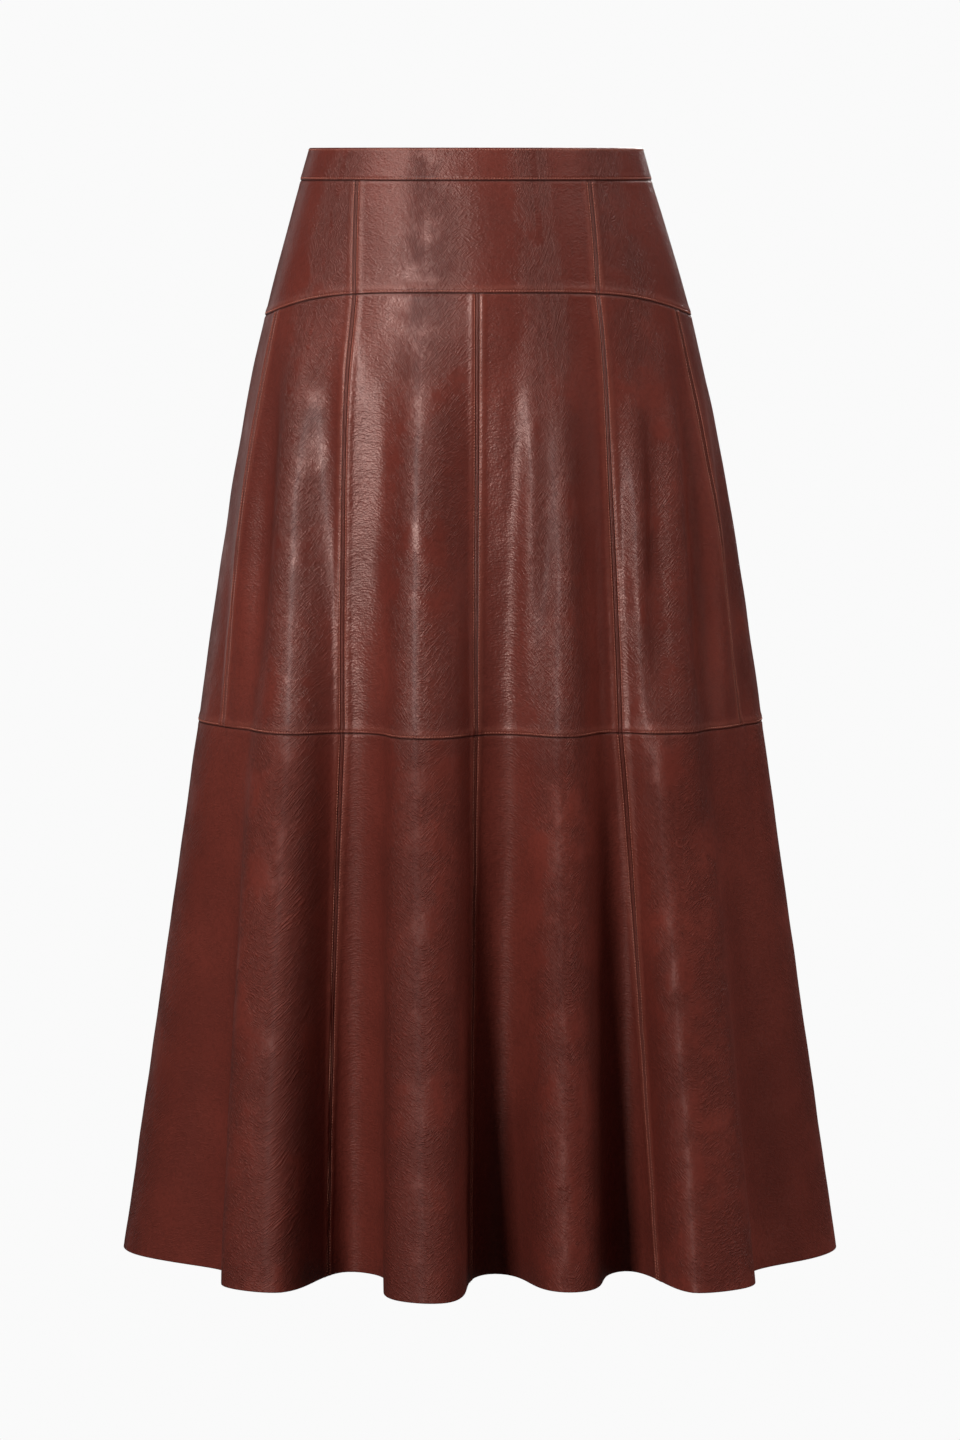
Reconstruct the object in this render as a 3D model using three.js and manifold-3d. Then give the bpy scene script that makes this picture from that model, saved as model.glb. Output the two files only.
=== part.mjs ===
// A long A-line leather skirt in its worn, hollow form: a waistband, a fitted hip yoke and two flared
// tiers of gores whose hem falls in round flutes, closed by a zip at the centre back.
// Millimetres, +Z up. The origin is the centre of the waist, halfway up the waistband, where a
// wearer holds the skirt. The front faces -Y; left and right are as seen from the front.
import * as THREE from "three";
import Module from "manifold-3d";
import { mergeVertices } from "three/addons/utils/BufferGeometryUtils.js";

// Driving heights, as drops below the top edge of the waistband.
const waistbandHeight = 24;
const yokeDrop = 106;
const yokeSideDip = 19;
const middleSeamDrop = 430;
const hemDrop = 832;
const zipDrop = 200;
const waistMiddle = waistbandHeight / 2;

// Leather and seams.
const leather = 1.2;
const waistbandThickness = 2.1;
const waistbandProud = 0.6;
const seamGap = 0.3;
const zipGap = 1.8;
const zipGapEnds = 30;

// The body of the skirt without its folds: at each drop, half the width, how far the cloth stands
// in front of and behind the centre, and how far that centre has moved to the right.
const sections = [
  { drop: 0, halfWidth: 124.2, front: 94, back: 94, shift: 0 },
  { drop: 24, halfWidth: 131.2, front: 99, back: 100, shift: 0 },
  { drop: 58, halfWidth: 141.2, front: 106, back: 109, shift: 0.7 },
  { drop: 104, halfWidth: 154.2, front: 113.5, back: 121, shift: 1.3 },
  { drop: 165, halfWidth: 169, front: 120, back: 130, shift: 1.7 },
  { drop: 225, halfWidth: 180.6, front: 124, back: 134, shift: 2 },
  { drop: 346, halfWidth: 200, front: 128, back: 138, shift: 2.4 },
  { drop: 430, halfWidth: 212.4, front: 131, back: 143, shift: 2.9 },
  { drop: 650, halfWidth: 244.4, front: 142, back: 158, shift: 3 },
  { drop: 832, halfWidth: 271.2, front: 155, back: 172, shift: 3 },
];

// The fold lines, in order round the skirt: crests and valleys in turn, starting at the left side.
// Angles run from the centre front towards the right side, at the yoke and at the hem. The offset
// is how far the line stands out of the body at the hem, growth is how late the fold opens on its
// way down, and steep is how upright the wall is that leads to the next line.
const foldLines = [
  { name: "left side", yokeAngle: -90, hemAngle: -90, offset: 0, growth: 1.5, steep: 0.1 },
  { name: "left slope", yokeAngle: -68, hemAngle: -51.3, offset: -11, growth: 2, steep: 0.95 },
  { name: "first flute", yokeAngle: -50, hemAngle: -29.8, offset: 62, growth: 1.5, steep: 0.8 },
  { name: "left princess valley", yokeAngle: -28, hemAngle: -22.4, offset: -38, growth: 1.5, steep: 0.95 },
  { name: "second flute", yokeAngle: -15, hemAngle: -6.1, offset: 82, growth: 1.5, steep: 1 },
  { name: "centre valley", yokeAngle: 7, hemAngle: 2.3, offset: -40, growth: 1.3, steep: 0.45 },
  { name: "third flute", yokeAngle: 19, hemAngle: 13.2, offset: 41, growth: 1.3, steep: 0.4 },
  { name: "right princess valley", yokeAngle: 30, hemAngle: 25.8, offset: -37, growth: 1.5, steep: 1 },
  { name: "fourth flute", yokeAngle: 46, hemAngle: 31.3, offset: 66, growth: 2, steep: 0.75 },
  { name: "right slope", yokeAngle: 66, hemAngle: 56, offset: -6, growth: 2, steep: 0.1 },
  { name: "right side", yokeAngle: 90, hemAngle: 90, offset: 0, growth: 1.5, steep: 0.1 },
  { name: "right back slope", yokeAngle: 112, hemAngle: 112, offset: -14, growth: 1.6, steep: 0.6 },
  { name: "first back flute", yokeAngle: 125, hemAngle: 129, offset: 46, growth: 2.2, steep: 0.7 },
  { name: "right back valley", yokeAngle: 139, hemAngle: 144, offset: -34, growth: 1.8, steep: 0.8 },
  { name: "second back flute", yokeAngle: 154, hemAngle: 157, offset: 56, growth: 1.9, steep: 0.8 },
  { name: "centre back valley", yokeAngle: 168, hemAngle: 170, offset: -36, growth: 1.4, steep: 0.6 },
  { name: "third back flute", yokeAngle: 184, hemAngle: 184, offset: 45, growth: 1.6, steep: 0.7 },
  { name: "left inner valley", yokeAngle: 199, hemAngle: 198, offset: -38, growth: 1.7, steep: 0.8 },
  { name: "fourth back flute", yokeAngle: 213, hemAngle: 212, offset: 58, growth: 2.1, steep: 0.8 },
  { name: "left back valley", yokeAngle: 227, hemAngle: 225, offset: -32, growth: 1.8, steep: 0.7 },
  { name: "fifth back flute", yokeAngle: 240, hemAngle: 239, offset: 42, growth: 2.3, steep: 0.5 },
  { name: "left back slope", yokeAngle: 252, hemAngle: 255, offset: -12, growth: 1.6, steep: 0.1 },
];
const foldCount = foldLines.length;
const softening = [-0.12, -0.06, 0, 0.06, 0.12];

// Soft creases that the hang of the leather adds below the yoke: ridges, and troughs with a height
// below nought. Each runs from a place at its start to a place at its end, is highest at its peak
// drop, and fades out over its half width.
const creases = [
  { name: "left slope ridge", from: 0.8, to: 1.3, start: 130, peak: 300, end: 620, height: 4, half: 25 },
  { name: "left slope trough", from: 1.2, to: 1.8, start: 120, peak: 300, end: 560, height: -4, half: 20 },
  { name: "first flute ridge", from: 1.8, to: 2.1, start: 112, peak: 235, end: 520, height: 5, half: 25 },
  { name: "first flute wall", from: 2.3, to: 2.7, start: 118, peak: 260, end: 560, height: -4, half: 20 },
  { name: "left princess ridge", from: 2.6, to: 2.8, start: 112, peak: 180, end: 330, height: 2, half: 15 },
  { name: "left princess trough", from: 3.3, to: 3.5, start: 118, peak: 250, end: 560, height: -3, half: 20 },
  { name: "second flute ridge", from: 4, to: 3.9, start: 112, peak: 240, end: 560, height: 4, half: 25 },
  { name: "second flute wall", from: 4.6, to: 4.7, start: 118, peak: 240, end: 560, height: -4, half: 25 },
  { name: "centre valley ridge", from: 5.9, to: 5.1, start: 112, peak: 250, end: 520, height: 5, half: 20 },
  { name: "third flute nick", from: 5.9, to: 5.5, start: 120, peak: 240, end: 480, height: -4, half: 15 },
  { name: "third flute ridge", from: 6.3, to: 6, start: 112, peak: 250, end: 520, height: 5, half: 20 },
  { name: "third flute wall", from: 7.3, to: 6.8, start: 118, peak: 250, end: 560, height: -5, half: 25 },
  { name: "right princess ridge", from: 7.9, to: 7.4, start: 150, peak: 270, end: 500, height: 4, half: 15 },
  { name: "right princess nick", from: 8.1, to: 7.7, start: 170, peak: 290, end: 500, height: -5, half: 15 },
  { name: "fourth flute ridge", from: 8.5, to: 8.1, start: 120, peak: 260, end: 560, height: 6, half: 20 },
  { name: "fourth flute trough", from: 8.9, to: 8.3, start: 118, peak: 260, end: 560, height: -4, half: 20 },
  { name: "right slope ridge", from: 9.4, to: 8.6, start: 125, peak: 300, end: 600, height: 4, half: 20 },
  { name: "right slope trough", from: 9.7, to: 9.1, start: 150, peak: 320, end: 620, height: -4, half: 20 },
  { name: "right side ridge", from: 10.1, to: 10.3, start: 140, peak: 310, end: 580, height: 2, half: 26 },
  { name: "right side trough", from: 10.8, to: 10.9, start: 135, peak: 280, end: 560, height: -2, half: 24 },
  { name: "first back ridge", from: 11.8, to: 11.95, start: 118, peak: 250, end: 540, height: 3.5, half: 24 },
  { name: "first back trough", from: 12.5, to: 12.6, start: 124, peak: 270, end: 520, height: -2.5, half: 20 },
  { name: "second back ridge", from: 13.75, to: 13.95, start: 112, peak: 235, end: 560, height: 4, half: 26 },
  { name: "second back trough", from: 14.6, to: 14.5, start: 120, peak: 260, end: 500, height: -3, half: 22 },
  { name: "third back ridge", from: 16.3, to: 16, start: 130, peak: 290, end: 540, height: 2.5, half: 20 },
  { name: "third back trough", from: 17, to: 16.9, start: 124, peak: 240, end: 520, height: -2.5, half: 22 },
  { name: "fourth back ridge", from: 17.9, to: 18, start: 115, peak: 255, end: 560, height: 4, half: 24 },
  { name: "fourth back trough", from: 18.7, to: 18.6, start: 118, peak: 230, end: 480, height: -3, half: 20 },
  { name: "fifth back ridge", from: 20.2, to: 20, start: 122, peak: 265, end: 540, height: 3, half: 24 },
  { name: "fifth back trough", from: 20.9, to: 20.6, start: 130, peak: 300, end: 560, height: -2, half: 20 },
];
const creaseReach = 1.5;

// Seams that run down the skirt, as places round the fold lines: 4.7 is seven tenths of the way
// from the line with index 4 to the line with index 5.
const seams = {
  frontLeft: { yokeTop: 2.37, yoke: 2.65, middle: 2.8, hem: 2.69 },
  frontCentre: { yoke: 4.68, middle: 4.7, hem: 4.67 },
  frontRight: { yokeTop: 7.59, yoke: 7.29, middle: 7.15, hem: 7.45 },
  sideFrontLeft: { yoke: 0.88, middle: 0.85 },
  sideFrontRight: { yoke: 9.1, middle: 9.22 },
  sideBackRight: { yoke: 11.1, middle: 11 },
  backRight: { yokeTop: 13.2, yoke: 13.45, middle: 13.5, hem: 13.4 },
  backCentre: { yokeTop: 15.75, yoke: 15.75, middle: 15.74, hem: 15.8 },
  backLeft: { yokeTop: 18.65, yoke: 18.35, middle: 18.3, hem: 18.4 },
  sideBackLeft: { yoke: 21.15, middle: 21.2 },
};

// Facets: columns for each fold line passed, and rows down each tier.
const mesh = {
  waistband: { columns: 4, rows: 1 },
  yoke: { columns: 4, rows: 3 },
  middle: { columns: 6.5, rows: 9 },
  lower: { columns: 8.5, rows: 8 },
  tape: { columns: 20, rows: 9 },
};

const lerp = THREE.MathUtils.lerp;
const radians = THREE.MathUtils.degToRad;

/** A smooth curve through one column of the sections, with each slope taken from its neighbours. */
function sectionAt(drop, column) {
  const last = sections.length - 1;
  const at = THREE.MathUtils.clamp(drop, 0, hemDrop);
  let i = 0;
  while (i < last - 1 && sections[i + 1].drop < at) i += 1;
  const rise = (k) => {
    const [above, below] = [sections[k], sections[k + 1]];
    return (below[column] - above[column]) / (below.drop - above.drop);
  };
  const slope = (k) => {
    if (k === 0) return rise(0);
    if (k === last) return rise(last - 1);
    return (rise(k - 1) + rise(k)) / 2;
  };
  const span = sections[i + 1].drop - sections[i].drop;
  const t = (at - sections[i].drop) / span;
  const from = sections[i][column];
  const to = sections[i + 1][column];
  const ease = t * t * (3 - 2 * t);
  const leave = t * (1 - t) * (1 - t) * span * slope(i);
  const arrive = t * t * (1 - t) * span * slope(i + 1);
  return from + (to - from) * ease + leave - arrive;
}

/** How far down the folds a drop lies: 0 at the yoke seam and 1 at the hem. */
function foldShare(drop) {
  return THREE.MathUtils.clamp((drop - yokeDrop) / (hemDrop - yokeDrop), 0, 1);
}

/** The angle and the offset of one place round the folds, before it is softened. */
function foldAt(place, share) {
  const turns = Math.floor(place / foldCount);
  const local = place - turns * foldCount;
  const index = Math.floor(local);
  const t = local - index;
  const line = foldLines[index];
  const next = foldLines[(index + 1) % foldCount];
  const nextTurn = index + 1 === foldCount ? 360 : 0;
  const angle = lerp(line.yokeAngle, line.hemAngle, share);
  const nextAngle = lerp(next.yokeAngle, next.hemAngle, share) + nextTurn;
  const offset = line.offset * share ** line.growth;
  const nextOffset = next.offset * share ** next.growth;
  const steep = line.steep * share;
  const along = t + (steep / (2 * Math.PI)) * Math.sin(2 * Math.PI * t);
  return {
    angle: lerp(angle, nextAngle, along) + 360 * turns,
    offset: lerp(offset, nextOffset, (1 - Math.cos(Math.PI * t)) / 2),
  };
}

/** The folded skirt seen from above, and the way out of it, before its creases. */
function foldedPlan(place, drop) {
  const share = foldShare(drop);
  let angle = 0;
  let offset = 0;
  for (const step of softening) {
    const fold = foldAt(place + step, share);
    angle += fold.angle / softening.length;
    offset += fold.offset / softening.length;
  }
  const sine = Math.sin(radians(angle));
  const cosine = Math.cos(radians(angle));
  const wide = sectionAt(drop, "halfWidth");
  const deep = sectionAt(drop, cosine > 0 ? "front" : "back");
  const normal = new THREE.Vector2(sine / wide, -cosine / deep).normalize();
  const point = new THREE.Vector2(sectionAt(drop, "shift") + wide * sine, -deep * cosine);
  return { point: point.addScaledVector(normal, offset), normal };
}

/** How far the creases move the cloth out at a place and a drop. */
function creaseOffset(place, drop) {
  let offset = 0;
  for (const crease of creases) {
    if (drop <= crease.start || drop >= crease.end) continue;
    const middle = lerp(crease.from, crease.to, (drop - crease.start) / (crease.end - crease.start));
    const turns = Math.round((place - middle) / foldCount);
    const away = place - middle - turns * foldCount;
    if (Math.abs(away) > creaseReach) continue;
    const step = 0.01;
    const near = foldedPlan(middle - step, drop).point;
    const reach = (Math.abs(away) * foldedPlan(middle + step, drop).point.distanceTo(near)) / (2 * step);
    if (reach >= crease.half) continue;
    const rise = THREE.MathUtils.smoothstep(drop, crease.start, crease.peak);
    const fall = 1 - THREE.MathUtils.smoothstep(drop, crease.peak, crease.end);
    const across = (1 + Math.cos((Math.PI * reach) / crease.half)) / 2;
    offset += crease.height * rise * fall * across;
  }
  return offset;
}

/** The point of the skirt at a place round it and a drop, seen from above. */
function planPoint(place, drop) {
  const { point, normal } = foldedPlan(place, drop);
  return point.addScaledVector(normal, creaseOffset(place, drop));
}

/** The skirt's outer surface, moved out level by a distance. */
function surfacePoint(place, drop, out = 0) {
  const step = 0.002;
  const point = planPoint(place, drop);
  const run = planPoint(place + step, drop).sub(planPoint(place - step, drop)).normalize();
  return new THREE.Vector3(point.x + run.y * out, point.y - run.x * out, waistMiddle - drop);
}

/** How many millimetres of cloth one unit of place is worth. */
function clothPerPlace(place, drop) {
  const step = 0.002;
  return planPoint(place + step, drop).distanceTo(planPoint(place - step, drop)) / (2 * step);
}

/** The yoke seam, which dips towards the sides. */
function yokeSeamDrop(place) {
  const { angle } = foldAt(place, 0);
  return yokeDrop + yokeSideDip * Math.abs(Math.sin(radians(angle))) ** 5;
}

/** The closed solid between two grids of points, rows of columns, an outer and an inner one. */
function wallGeometry(outer, inner) {
  const rows = outer.length;
  const columns = outer[0].length;
  const positions = [];
  for (const grid of [outer, inner]) {
    for (const row of grid) {
      for (const point of row) positions.push(point.x, point.y, point.z);
    }
  }
  const index = [];
  const at = (side, row, column) => (side * rows + row) * columns + column;
  const quad = (a, b, c, d) => index.push(a, b, c, a, c, d);
  for (let r = 0; r < rows - 1; r += 1) {
    for (let c = 0; c < columns - 1; c += 1) {
      quad(at(0, r, c), at(0, r + 1, c), at(0, r + 1, c + 1), at(0, r, c + 1));
      quad(at(1, r, c), at(1, r, c + 1), at(1, r + 1, c + 1), at(1, r + 1, c));
    }
    const end = columns - 1;
    quad(at(0, r, 0), at(1, r, 0), at(1, r + 1, 0), at(0, r + 1, 0));
    quad(at(0, r, end), at(0, r + 1, end), at(1, r + 1, end), at(1, r, end));
  }
  for (let c = 0; c < columns - 1; c += 1) {
    const foot = rows - 1;
    quad(at(0, 0, c), at(0, 0, c + 1), at(1, 0, c + 1), at(1, 0, c));
    quad(at(1, foot, c), at(1, foot, c + 1), at(0, foot, c + 1), at(0, foot, c));
  }
  const geometry = new THREE.BufferGeometry();
  geometry.setAttribute("position", new THREE.Float32BufferAttribute(positions, 3));
  geometry.setIndex(index);
  geometry.computeVertexNormals();
  return geometry;
}

/**
 * One piece of the skirt: a wall between two side edges and a top and a bottom edge. Each side is
 * { top, bottom, gap }, its places at the two ends and how far the cloth keeps from it at a drop.
 */
function panelGeometry({ start, end, topDrop, bottomDrop, facets, proud = 0, thickness = leather }) {
  const columns = Math.max(2, Math.round(Math.abs(end.bottom - start.bottom) * facets.columns));
  const outer = [];
  const inner = [];
  for (let r = 0; r <= facets.rows; r += 1) {
    const down = r / facets.rows;
    outer.push([]);
    inner.push([]);
    const startPlace = lerp(start.top, start.bottom, down);
    const endPlace = lerp(end.top, end.bottom, down);
    const startDrop = lerp(topDrop(startPlace), bottomDrop(startPlace), down);
    const endDrop = lerp(topDrop(endPlace), bottomDrop(endPlace), down);
    const from = startPlace + start.gap(startDrop) / clothPerPlace(startPlace, startDrop);
    const to = endPlace - end.gap(endDrop) / clothPerPlace(endPlace, endDrop);
    for (let c = 0; c <= columns; c += 1) {
      const place = lerp(from, to, c / columns);
      const drop = lerp(topDrop(place) + seamGap / 2, bottomDrop(place) - seamGap / 2, down);
      outer[r].push(surfacePoint(place, drop, proud));
      inner[r].push(surfacePoint(place, drop, proud - thickness));
    }
  }
  return wallGeometry(outer, inner);
}

/** A sewn seam's edge between two levels of the seam table, half a seam gap from the seam line. */
function seamEdge(name, topLevel, bottomLevel, turn = 0) {
  const seam = seams[name];
  return {
    top: seam[topLevel] + turn * foldCount,
    bottom: seam[bottomLevel] + turn * foldCount,
    gap: () => seamGap / 2,
  };
}

/** The centre back's edge, which stands open for the zip and closes below it. */
function backEdge(topLevel, bottomLevel, turn = 0) {
  const ease = (drop) => THREE.MathUtils.smoothstep(drop, zipDrop - zipGapEnds, zipDrop);
  return {
    ...seamEdge("backCentre", topLevel, bottomLevel, turn),
    gap: (drop) => lerp(zipGap / 2, seamGap / 2, ease(drop)),
  };
}

const leatherFinish = new THREE.MeshStandardMaterial({ color: 0x6b342d, roughness: 0.42, metalness: 0 });
const tapeFinish = new THREE.MeshStandardMaterial({ color: 0x3a1a17, roughness: 0.85, metalness: 0 });
const metalFinish = new THREE.MeshStandardMaterial({ color: 0x5a3029, roughness: 0.35, metalness: 0.6 });

function namedMesh(name, geometry, material) {
  const made = new THREE.Mesh(geometry, material.clone());
  made.name = name;
  return made;
}

/** The band round the waist, open at the centre back, standing a little proud of the yoke. */
function makeWaistband() {
  const geometry = panelGeometry({
    start: backEdge("yokeTop", "yokeTop", -1),
    end: backEdge("yokeTop", "yokeTop"),
    topDrop: () => -seamGap / 2,
    bottomDrop: () => waistbandHeight,
    facets: mesh.waistband,
    proud: waistbandProud,
    thickness: waistbandThickness,
  });
  return namedMesh("waistband", geometry, leatherFinish);
}

/** The yoke pieces: name, and the seams they run between. */
function makeYoke() {
  const sewn = (name, turn) => seamEdge(name, "yokeTop", "yoke", turn);
  const pieces = [
    { name: "yoke_front_centre", start: sewn("frontLeft"), end: sewn("frontRight") },
    { name: "yoke_side_right", start: sewn("frontRight"), end: sewn("backRight") },
    { name: "yoke_back_right", start: sewn("backRight"), end: backEdge("yokeTop", "yoke") },
    { name: "yoke_back_left", start: backEdge("yokeTop", "yoke"), end: sewn("backLeft") },
    { name: "yoke_side_left", start: sewn("backLeft"), end: sewn("frontLeft", 1) },
  ];
  return pieces.map(({ name, start, end }) => {
    const edges = { start, end, topDrop: () => waistbandHeight, bottomDrop: yokeSeamDrop };
    return namedMesh(name, panelGeometry({ ...edges, facets: mesh.yoke }), leatherFinish);
  });
}

/** The ten gores of the middle tier. */
function makeMiddleTier() {
  const sewn = (name, turn) => seamEdge(name, "yoke", "middle", turn);
  const pieces = [
    { name: "middle_front_outer_left", start: sewn("sideFrontLeft"), end: sewn("frontLeft") },
    { name: "middle_front_inner_left", start: sewn("frontLeft"), end: sewn("frontCentre") },
    { name: "middle_front_inner_right", start: sewn("frontCentre"), end: sewn("frontRight") },
    { name: "middle_front_outer_right", start: sewn("frontRight"), end: sewn("sideFrontRight") },
    { name: "middle_side_right", start: sewn("sideFrontRight"), end: sewn("sideBackRight") },
    { name: "middle_back_outer_right", start: sewn("sideBackRight"), end: sewn("backRight") },
    { name: "middle_back_inner_right", start: sewn("backRight"), end: backEdge("yoke", "middle") },
    { name: "middle_back_inner_left", start: backEdge("yoke", "middle"), end: sewn("backLeft") },
    { name: "middle_back_outer_left", start: sewn("backLeft"), end: sewn("sideBackLeft") },
    { name: "middle_side_left", start: sewn("sideBackLeft"), end: sewn("sideFrontLeft", 1) },
  ];
  return pieces.map(({ name, start, end }) => {
    const edges = { start, end, topDrop: yokeSeamDrop, bottomDrop: () => middleSeamDrop };
    return namedMesh(name, panelGeometry({ ...edges, facets: mesh.middle }), leatherFinish);
  });
}

/** The six wide gores of the lower tier, which carry the flutes down to the hem. */
function makeLowerTier() {
  const sewn = (name, turn) => seamEdge(name, "middle", "hem", turn);
  const pieces = [
    { name: "lower_front_left", start: sewn("frontLeft"), end: sewn("frontCentre") },
    { name: "lower_front_right", start: sewn("frontCentre"), end: sewn("frontRight") },
    { name: "lower_side_right", start: sewn("frontRight"), end: sewn("backRight") },
    { name: "lower_back_right", start: sewn("backRight"), end: sewn("backCentre") },
    { name: "lower_back_left", start: sewn("backCentre"), end: sewn("backLeft") },
    { name: "lower_side_left", start: sewn("backLeft"), end: sewn("frontLeft", 1) },
  ];
  const bottomDrop = () => hemDrop + seamGap / 2;
  return pieces.map(({ name, start, end }) => {
    const edges = { start, end, topDrop: () => middleSeamDrop, bottomDrop };
    return namedMesh(name, panelGeometry({ ...edges, facets: mesh.lower }), leatherFinish);
  });
}

// The zip lies inside the centre back. Its two tapes stop short of each other, its slider waits at
// the top behind them, and a thin neck comes out between the leather edges to carry the pull.
const tape = { inset: 1.8, thickness: 0.8, width: 12, apart: 2.2, topDrop: 3, pastEnd: 8 };
const slider = { drop: 9, width: 6, height: 9, depth: 3, neckHeight: 5, neckWidth: 1 };
const eye = { radius: 2.2, hole: 1.1, standOff: 1.3 };
const pull = { shoulder: 4.6, width: 6, length: 24, thickness: 1, bar: 1 };
const slot = { width: 2.4, length: 4.5 };
const pieceGap = 0.3;

/** One tape: a narrow wall inside the skirt, on the left (side 1) or the right (side -1). */
function makeTape(name, side) {
  const centre = seams.backCentre.yokeTop;
  const edge = (reach) => {
    const place = centre + (side * reach) / clothPerPlace(centre, waistbandHeight);
    return { top: place, bottom: place, gap: () => 0 };
  };
  const near = edge(tape.apart / 2);
  const far = edge(tape.apart / 2 + tape.width);
  const geometry = panelGeometry({
    start: side > 0 ? near : far,
    end: side > 0 ? far : near,
    topDrop: () => tape.topDrop,
    bottomDrop: () => zipDrop + tape.pastEnd,
    facets: mesh.tape,
    proud: -tape.inset,
    thickness: tape.thickness,
  });
  return namedMesh(name, geometry, tapeFinish);
}

const wasm = await Module();
wasm.setup();

/** A closed geometry as a solid that can be joined to another. */
function solidOf(geometry) {
  const bare = geometry.clone();
  bare.deleteAttribute("normal");
  bare.deleteAttribute("uv");
  const merged = mergeVertices(bare, 1e-4);
  const vertProperties = new Float32Array(merged.attributes.position.array);
  const triVerts = new Uint32Array(merged.index.array);
  return new wasm.Manifold(new wasm.Mesh({ numProp: 3, vertProperties, triVerts }));
}

function geometryOf(solid) {
  const { vertProperties, triVerts } = solid.getMesh();
  const geometry = new THREE.BufferGeometry();
  geometry.setAttribute("position", new THREE.BufferAttribute(vertProperties, 3));
  geometry.setIndex(new THREE.BufferAttribute(triVerts, 1));
  geometry.computeVertexNormals();
  return geometry;
}

/** A flat shape made into a plate centred on its plane, with the axes that it lies along. */
function plateGeometry(shape, thickness, across, up) {
  const settings = { depth: thickness, bevelEnabled: false, curveSegments: 10 };
  const plate = new THREE.ExtrudeGeometry(shape, settings);
  plate.translate(0, 0, -thickness / 2);
  return plate.applyMatrix4(new THREE.Matrix4().makeBasis(across, up, across.clone().cross(up)));
}

const xAxis = new THREE.Vector3(1, 0, 0);
const yAxis = new THREE.Vector3(0, 1, 0);
const zAxis = new THREE.Vector3(0, 0, 1);

/** The slider: a block behind the tapes, and a neck that ends in the eye round the hinge. */
function makeSlider() {
  const tapeBack = eye.standOff + waistbandProud + tape.inset + tape.thickness;
  const face = -tapeBack - pieceGap;
  const block = new THREE.BoxGeometry(slider.width, slider.depth, slider.height);
  block.translate(0, face - slider.depth / 2, 0);
  const outline = new THREE.Shape();
  outline.moveTo(face - slider.depth / 2, -slider.neckHeight / 2);
  outline.lineTo(-eye.radius, -slider.neckHeight / 2);
  outline.lineTo(0, -eye.radius);
  outline.absarc(0, 0, eye.radius, -Math.PI / 2, Math.PI / 2, false);
  outline.lineTo(-eye.radius, slider.neckHeight / 2);
  outline.lineTo(face - slider.depth / 2, slider.neckHeight / 2);
  const hole = new THREE.Path();
  hole.absarc(0, 0, eye.hole, 0, 2 * Math.PI, true);
  outline.holes.push(hole);
  const neck = plateGeometry(outline, slider.neckWidth, yAxis, zAxis);
  return namedMesh("zip_slider", geometryOf(solidOf(block).add(solidOf(neck))), metalFinish);
}

/** The pull: a tapered plate with a round foot that hangs from the eye by its top bar. */
function makePull() {
  const outline = new THREE.Shape();
  const top = pull.bar / 2;
  outline.moveTo(-pull.shoulder / 2, top);
  outline.lineTo(-pull.width / 2, top - pull.length + pull.width / 2);
  outline.absarc(0, top - pull.length + pull.width / 2, pull.width / 2, Math.PI, 2 * Math.PI, false);
  outline.lineTo(pull.shoulder / 2, top);
  const hole = new THREE.Path();
  hole.moveTo(-slot.width / 2, -top);
  hole.lineTo(slot.width / 2, -top);
  hole.lineTo(slot.width / 2, -top - slot.length);
  hole.lineTo(-slot.width / 2, -top - slot.length);
  outline.holes.push(hole);
  return namedMesh("zip_pull", plateGeometry(outline, pull.thickness, xAxis, zAxis), metalFinish);
}

/** The slider and its pull, with the hinge between them as their centre, tilted as the leather is. */
function makeClosure() {
  const centre = seams.backCentre.yokeTop;
  const hinge = surfacePoint(centre, slider.drop, waistbandProud + eye.standOff);
  const below = surfacePoint(centre, slider.drop + slider.height / 2);
  const above = surfacePoint(centre, slider.drop - slider.height / 2);
  const closure = new THREE.Group();
  closure.position.copy(hinge);
  closure.rotation.x = Math.atan2(below.y - above.y, above.z - below.z);
  closure.add(makeSlider(), makePull());
  return closure;
}

const skirt = new THREE.Group();
skirt.add(makeWaistband(), ...makeYoke(), ...makeMiddleTier(), ...makeLowerTier());
skirt.add(makeTape("zip_tape_right", -1), makeTape("zip_tape_left", 1), makeClosure());

export default skirt;
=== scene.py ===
import math

import bpy
import numpy as np
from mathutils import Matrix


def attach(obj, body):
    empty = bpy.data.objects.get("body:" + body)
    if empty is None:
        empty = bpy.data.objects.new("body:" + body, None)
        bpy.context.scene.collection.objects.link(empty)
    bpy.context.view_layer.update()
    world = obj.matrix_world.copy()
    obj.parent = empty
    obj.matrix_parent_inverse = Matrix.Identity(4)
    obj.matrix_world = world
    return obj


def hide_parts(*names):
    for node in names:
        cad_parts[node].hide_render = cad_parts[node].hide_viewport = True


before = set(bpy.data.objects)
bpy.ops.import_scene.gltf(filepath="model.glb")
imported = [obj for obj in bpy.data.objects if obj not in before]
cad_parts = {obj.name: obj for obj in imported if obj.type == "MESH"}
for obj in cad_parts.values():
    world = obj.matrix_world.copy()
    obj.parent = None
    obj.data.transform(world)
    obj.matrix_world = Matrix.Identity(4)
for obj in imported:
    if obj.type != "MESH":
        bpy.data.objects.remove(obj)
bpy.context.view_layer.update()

# A long A-line leather skirt in its worn, hollow form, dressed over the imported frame. The front
# faces -Y, and left and right are as seen from the front. Cloth is worked out in millimetres, as
# drops below the waistband's top edge, and becomes metres where a mesh is made.
METRES = 0.001
BAND_HEIGHT = 24
YOKE_DROP = 106
YOKE_SIDE_DIP = 19
MIDDLE_SEAM_DROP = 430
HEM_DROP = 832
ZIP_DROP = 200
WAIST_MIDDLE = BAND_HEIGHT / 2
LEATHER = 1.2
BAND_THICKNESS = 2.1
BAND_PROUD = 0.6

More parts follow.
